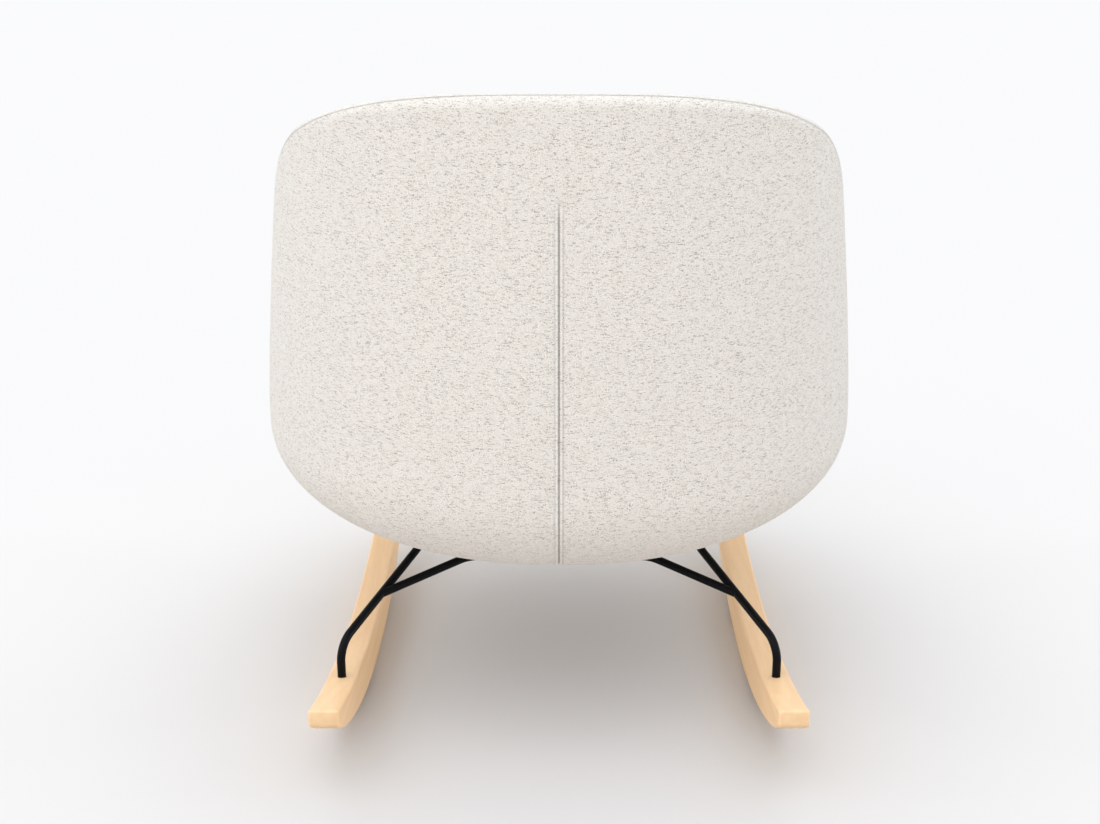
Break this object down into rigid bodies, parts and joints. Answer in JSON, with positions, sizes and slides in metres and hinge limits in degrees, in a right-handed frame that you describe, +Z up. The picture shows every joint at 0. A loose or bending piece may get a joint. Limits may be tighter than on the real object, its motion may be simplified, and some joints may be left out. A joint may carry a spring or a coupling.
{
  "type": "upholstered rocking chair",
  "caption": "Round upholstered tub chair in cream weave on bent black steel rods and curved pale wood rockers.",
  "frame": {"origin": "on the floor, midway between the rockers and midway along them", "axes": "+Z up, the sitter faces -Y, +X is the sitter's left"},
  "size_m": [0.769, 0.768, 0.7968],
  "materials": {
    "cover_fabric": "matte",
    "padding": "matte",
    "shell_plastic": "matte",
    "frame_black": "satin",
    "rocker_wood": "satin",
    "fixing_steel": "satin",
    "spacer_rubber": "matte"
  },
  "bodies": {
    "root": {"back_cover": "cover_fabric", "inside_cover": "cover_fabric", "seat_cover": "cover_fabric", "back_wadding": "padding", "back_foam": "padding", "left_arm_foam": "padding", "right_arm_foam": "padding", "front_edge_foam": "padding", "seat_foam": "padding", "moulded_shell": "shell_plastic", "left_rocker": "rocker_wood", "right_rocker": "rocker_wood", "left_side_rod": "frame_black", "right_side_rod": "frame_black", "rear_brace": "frame_black", "front_brace": "frame_black", "left_rear_mount_tab": "frame_black", "left_front_mount_tab": "frame_black", "right_rear_mount_tab": "frame_black", "right_front_mount_tab": "frame_black", "left_rear_spacer": "spacer_rubber", "left_front_spacer": "spacer_rubber", "right_rear_spacer": "spacer_rubber", "right_front_spacer": "spacer_rubber", "left_rear_seat_bolt": "fixing_steel", "left_front_seat_bolt": "fixing_steel", "right_rear_seat_bolt": "fixing_steel", "right_front_seat_bolt": "fixing_steel", "left_rear_t_nut": "fixing_steel", "left_front_t_nut": "fixing_steel", "right_rear_t_nut": "fixing_steel", "right_front_t_nut": "fixing_steel", "left_rear_rocker_bolt": "fixing_steel", "left_front_rocker_bolt": "fixing_steel", "right_rear_rocker_bolt": "fixing_steel", "right_front_rocker_bolt": "fixing_steel"}
  },
  "joints": []
}
